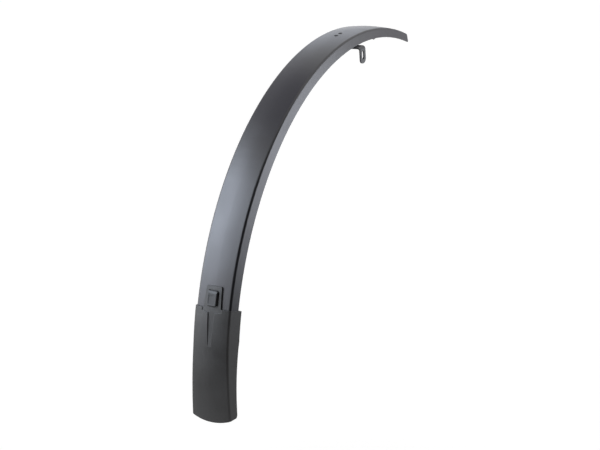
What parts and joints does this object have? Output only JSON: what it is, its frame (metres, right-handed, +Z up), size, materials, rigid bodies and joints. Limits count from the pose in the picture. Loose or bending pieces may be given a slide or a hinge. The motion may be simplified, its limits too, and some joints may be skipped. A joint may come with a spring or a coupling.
{
  "type": "bicycle mudguard",
  "caption": "Curved front bicycle mudguard: folded metal blade with a rubber flap on its lower end, a slotted fork bracket under its crown and a snap-in clip for a wire stay.",
  "frame": {"origin": "midway between the two bracket ears, on the axis of the fork bolts", "axes": "+X forwards, the way the wheel rolls; +Y to the rider's left; +Z up"},
  "size_m": [0.4876, 0.0692, 0.4322],
  "materials": {
    "blade_black": "satin black anodised",
    "flap_rubber": "matt",
    "clip_plastic": "fine grained",
    "fixing_steel": "zinc plated",
    "bracket_black": "satin black",
    "rivet_black": "satin black"
  },
  "bodies": {
    "root": {"blade": "blade_black", "mud_flap": "flap_rubber", "clip_cap": "clip_plastic", "stay_clip": "clip_plastic", "clip_screw": "fixing_steel", "fork_bracket": "bracket_black", "bracket_rivet_front": "rivet_black", "bracket_rivet_rear": "rivet_black"}
  },
  "joints": []
}
